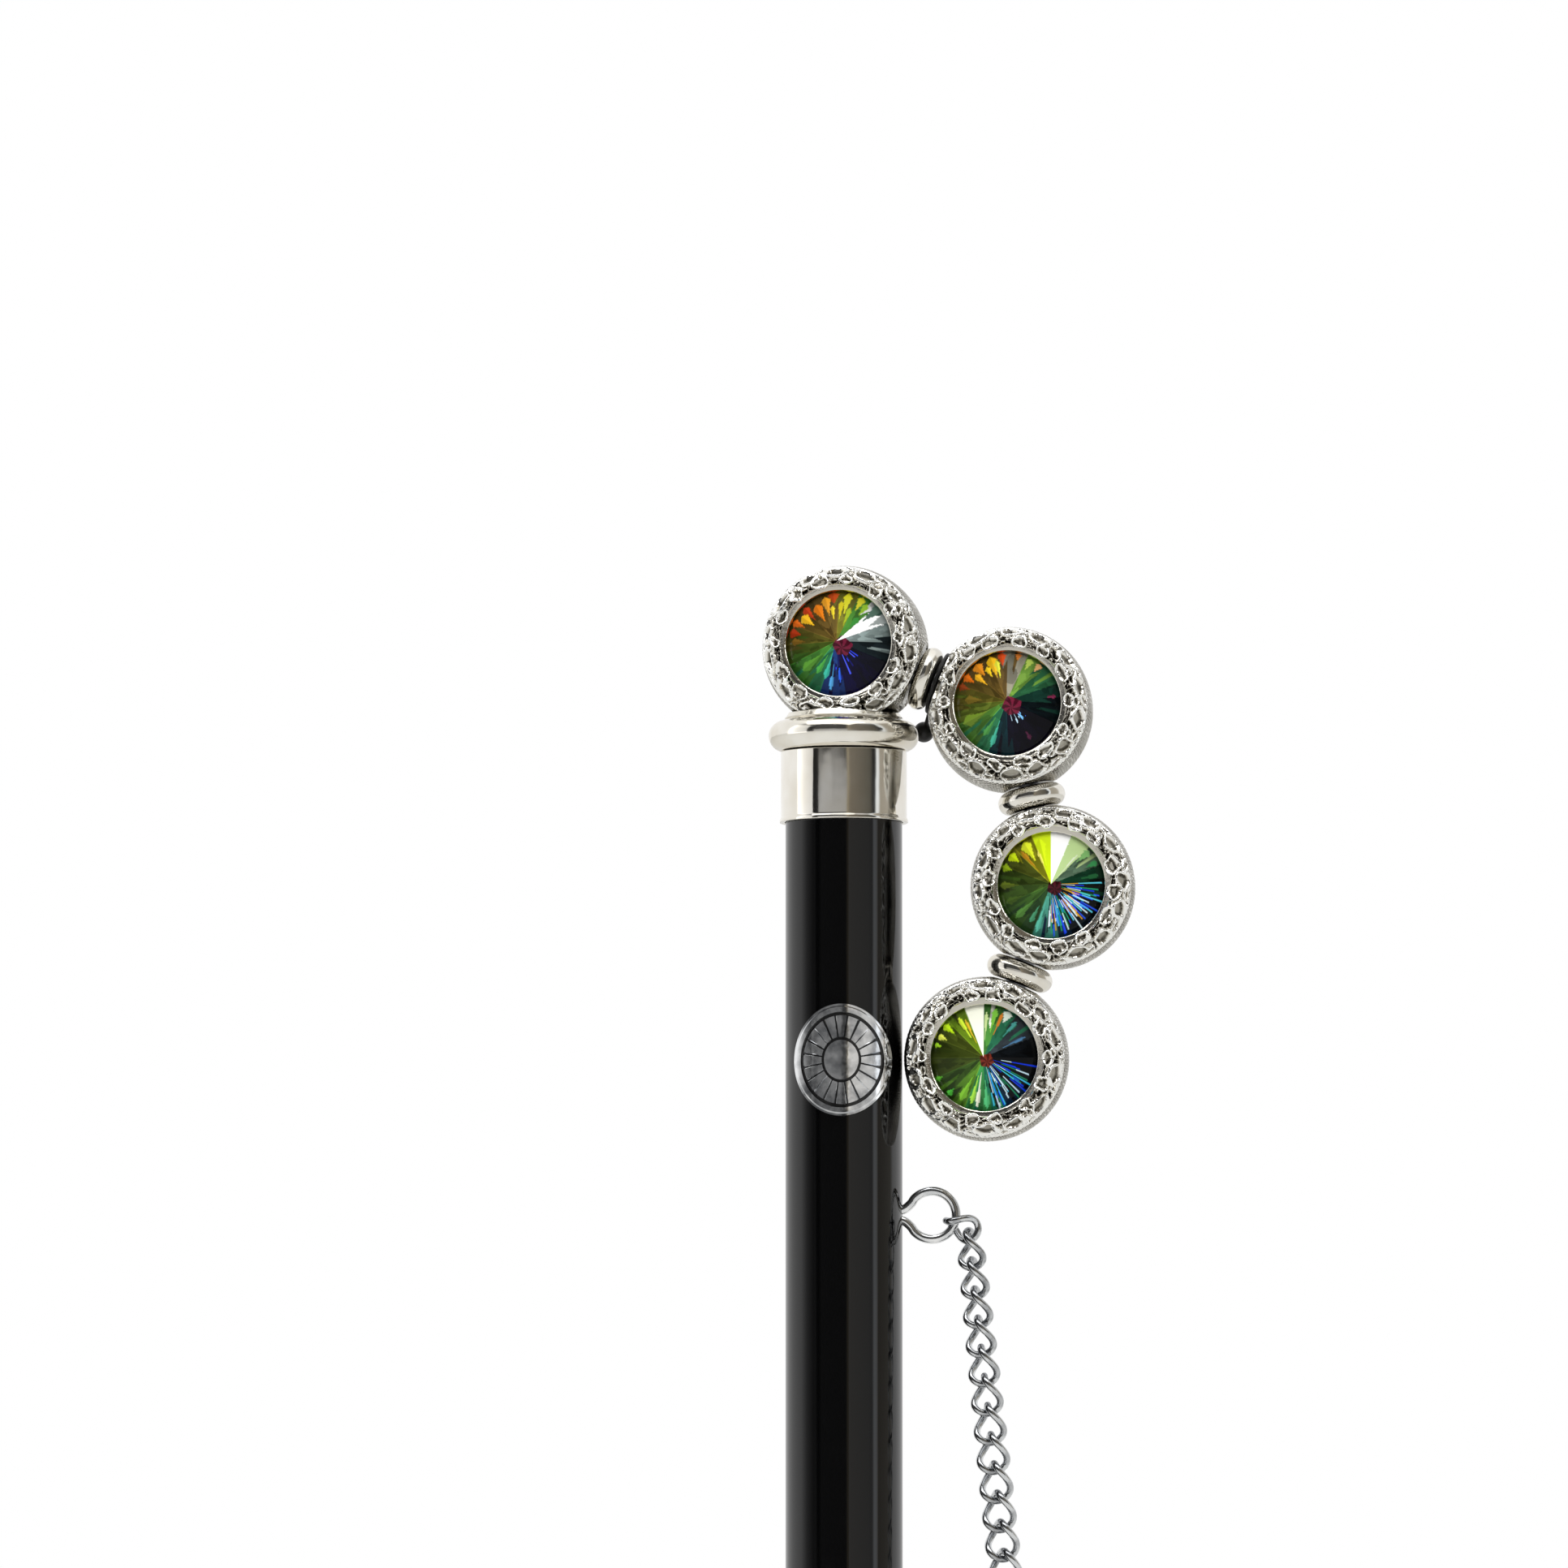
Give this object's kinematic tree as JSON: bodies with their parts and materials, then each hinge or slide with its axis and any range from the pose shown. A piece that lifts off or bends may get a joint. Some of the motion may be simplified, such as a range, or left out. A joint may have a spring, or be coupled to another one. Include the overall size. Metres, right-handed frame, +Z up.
{
  "type": "decorative hair stick",
  "caption": "Black lacquered hair stick with a silver ferrule, a crook of crystal-set filigree beads, a badge plate and a hanging curb chain.",
  "frame": {"origin": "the point of the stick's axis where the hair holds it, 120 mm below the top of the first bead", "axes": "+Z up along the stick towards the ornament, the beads face -Y, the crook and the chain are on the +X side"},
  "size_m": [0.0287, 0.0116, 0.17],
  "materials": {
    "black_lacquer": "deep gloss black lacquer over turned wood",
    "silver_plate": "warm silver plate, mirror polished and cast filigree",
    "bright_chrome": "neutral bright plate",
    "cut_crystal": "foil-backed crystal with a rainbow coating",
    "black_rubber": "satin black",
    "plain_steel": "plain turned steel"
  },
  "bodies": {
    "root": {"bead_1_shell": "silver_plate", "bead_1_bezel": "silver_plate", "bead_1_crystal": "cut_crystal", "bead_2_shell": "silver_plate", "bead_2_bezel": "silver_plate", "bead_2_crystal": "cut_crystal", "bead_3_shell": "silver_plate", "bead_3_bezel": "silver_plate", "bead_3_crystal": "cut_crystal", "bead_4_shell": "silver_plate", "bead_4_bezel": "silver_plate", "bead_4_crystal": "cut_crystal", "stick_shaft": "black_lacquer", "ferrule_tube": "silver_plate", "ferrule_moulding": "silver_plate", "handle_screw": "plain_steel", "rondelle_1": "silver_plate", "neck_washer": "black_rubber", "link_post_1": "plain_steel", "rondelle_2": "silver_plate", "link_post_2": "plain_steel", "rondelle_3": "silver_plate", "link_post_3": "plain_steel", "badge_plate": "bright_chrome", "chain_eye": "bright_chrome"},
    "joining_link": {"joining_link": "bright_chrome"},
    "chain_link_01": {"chain_link_01": "bright_chrome"},
    "chain_link_02": {"chain_link_02": "bright_chrome"},
    "chain_link_03": {"chain_link_03": "bright_chrome"},
    "chain_link_04": {"chain_link_04": "bright_chrome"},
    "chain_link_05": {"chain_link_05": "bright_chrome"},
    "chain_link_06": {"chain_link_06": "bright_chrome"},
    "chain_link_07": {"chain_link_07": "bright_chrome"},
    "chain_link_08": {"chain_link_08": "bright_chrome"},
    "chain_link_09": {"chain_link_09": "bright_chrome"},
    "chain_link_10": {"chain_link_10": "bright_chrome"},
    "chain_link_11": {"chain_link_11": "bright_chrome"},
    "chain_link_12": {"chain_link_12": "bright_chrome"},
    "chain_link_13": {"chain_link_13": "bright_chrome"},
    "chain_link_14": {"chain_link_14": "bright_chrome"},
    "chain_link_15": {"chain_link_15": "bright_chrome"},
    "chain_link_16": {"chain_link_16": "bright_chrome"},
    "chain_link_17": {"chain_link_17": "bright_chrome"},
    "chain_link_18": {"chain_link_18": "bright_chrome"},
    "chain_drop": {"chain_drop": "bright_chrome"}
  },
  "joints": [
    {"name": "joining_link_slide", "type": "hinge", "parent": "root", "child": "joining_link", "pos_m": [0.00678, 0, 0.06994], "axis": [0, 1, 0], "range_deg": [-25, 8]},
    {"name": "link_01_sway", "type": "hinge", "parent": "joining_link", "child": "chain_link_01", "pos_m": [0.00965, 0.0001, 0.06846], "axis": [0, 1, 0], "range_deg": [-18, 9]},
    {"name": "link_02_nod", "type": "hinge", "parent": "chain_link_01", "child": "chain_link_02", "pos_m": [0.00988, 0.0001, 0.06622], "axis": [1, 0, 0], "range_deg": [-18, 18]},
    {"name": "link_03_sway", "type": "hinge", "parent": "chain_link_02", "child": "chain_link_03", "pos_m": [0.01012, 0.0001, 0.06398], "axis": [0, -1, 0], "range_deg": [-9, 18]},
    {"name": "link_04_nod", "type": "hinge", "parent": "chain_link_03", "child": "chain_link_04", "pos_m": [0.01035, 0.0001, 0.06174], "axis": [-1, 0, 0], "range_deg": [-18, 18]},
    {"name": "link_05_sway", "type": "hinge", "parent": "chain_link_04", "child": "chain_link_05", "pos_m": [0.01059, 0.0001, 0.05951], "axis": [0, 1, 0], "range_deg": [-18, 9]},
    {"name": "link_06_nod", "type": "hinge", "parent": "chain_link_05", "child": "chain_link_06", "pos_m": [0.01082, 0.0001, 0.05727], "axis": [1, 0, 0], "range_deg": [-18, 18]},
    {"name": "link_07_sway", "type": "hinge", "parent": "chain_link_06", "child": "chain_link_07", "pos_m": [0.01106, 0.0001, 0.05503], "axis": [0, -1, 0], "range_deg": [-9, 18]},
    {"name": "link_08_nod", "type": "hinge", "parent": "chain_link_07", "child": "chain_link_08", "pos_m": [0.01129, 0.0001, 0.05279], "axis": [-1, 0, 0], "range_deg": [-18, 18]},
    {"name": "link_09_sway", "type": "hinge", "parent": "chain_link_08", "child": "chain_link_09", "pos_m": [0.01153, 0.0001, 0.05056], "axis": [0, 1, 0], "range_deg": [-18, 18]},
    {"name": "link_10_nod", "type": "hinge", "parent": "chain_link_09", "child": "chain_link_10", "pos_m": [0.01176, 0.0001, 0.04832], "axis": [1, 0, 0], "range_deg": [-18, 18]},
    {"name": "link_11_sway", "type": "hinge", "parent": "chain_link_10", "child": "chain_link_11", "pos_m": [0.012, 0.0001, 0.04608], "axis": [0, -1, 0], "range_deg": [-18, 18]},
    {"name": "link_12_nod", "type": "hinge", "parent": "chain_link_11", "child": "chain_link_12", "pos_m": [0.01223, 0.0001, 0.04384], "axis": [-1, 0, 0], "range_deg": [-18, 18]},
    {"name": "link_13_sway", "type": "hinge", "parent": "chain_link_12", "child": "chain_link_13", "pos_m": [0.01247, 0.0001, 0.0416], "axis": [0, 1, 0], "range_deg": [-18, 18]},
    {"name": "link_14_nod", "type": "hinge", "parent": "chain_link_13", "child": "chain_link_14", "pos_m": [0.0127, 0.0001, 0.03937], "axis": [1, 0, 0], "range_deg": [-18, 18]},
    {"name": "link_15_sway", "type": "hinge", "parent": "chain_link_14", "child": "chain_link_15", "pos_m": [0.01294, 0.0001, 0.03713], "axis": [0, -1, 0], "range_deg": [-18, 18]},
    {"name": "link_16_nod", "type": "hinge", "parent": "chain_link_15", "child": "chain_link_16", "pos_m": [0.01317, 0.0001, 0.03489], "axis": [-1, 0, 0], "range_deg": [-18, 18]},
    {"name": "link_17_sway", "type": "hinge", "parent": "chain_link_16", "child": "chain_link_17", "pos_m": [0.01341, 0.0001, 0.03265], "axis": [0, 1, 0], "range_deg": [-18, 18]},
    {"name": "link_18_nod", "type": "hinge", "parent": "chain_link_17", "child": "chain_link_18", "pos_m": [0.01364, 0.0001, 0.03042], "axis": [1, 0, 0], "range_deg": [-18, 18]},
    {"name": "drop_sway", "type": "hinge", "parent": "chain_link_18", "child": "chain_drop", "pos_m": [0.01388, 0.0001, 0.02814], "axis": [0, 1, 0], "range_deg": [-18, 18]}
  ]
}
